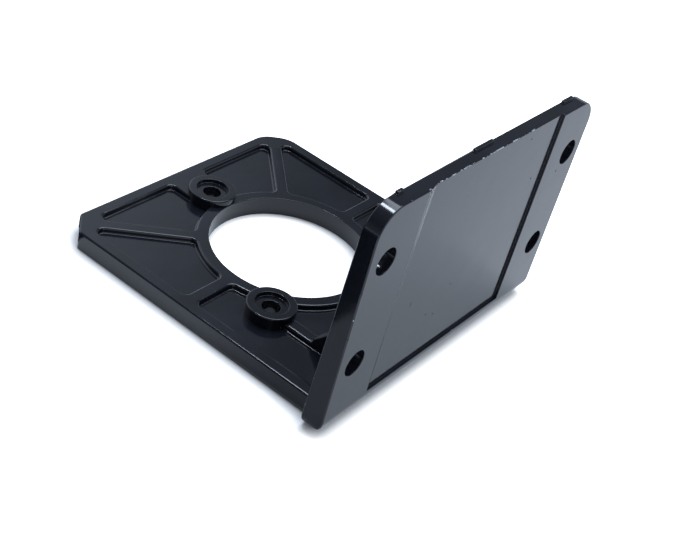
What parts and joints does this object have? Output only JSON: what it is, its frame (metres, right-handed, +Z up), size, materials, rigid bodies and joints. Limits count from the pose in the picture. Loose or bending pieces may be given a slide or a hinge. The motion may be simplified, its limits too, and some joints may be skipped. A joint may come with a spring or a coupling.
{
  "type": "encoder mounting bracket",
  "caption": "Black die-cast L bracket for a shaft encoder: a ribbed plate with a pilot bore and raised screw bosses, and a tapered upright with fixing holes in raised strips.",
  "frame": {"origin": "on the pilot bore's axis, in the flat underside that the encoder seats on and the bracket rests on", "axes": "+X along the fold, +Y from the upright out over the plate, +Z up along the bore's axis"},
  "size_m": [0.065, 0.063, 0.0444],
  "materials": {
    "black_coat": "semi-gloss black coat on die-cast aluminium"
  },
  "bodies": {
    "root": {"bracket": "black_coat"}
  },
  "joints": []
}
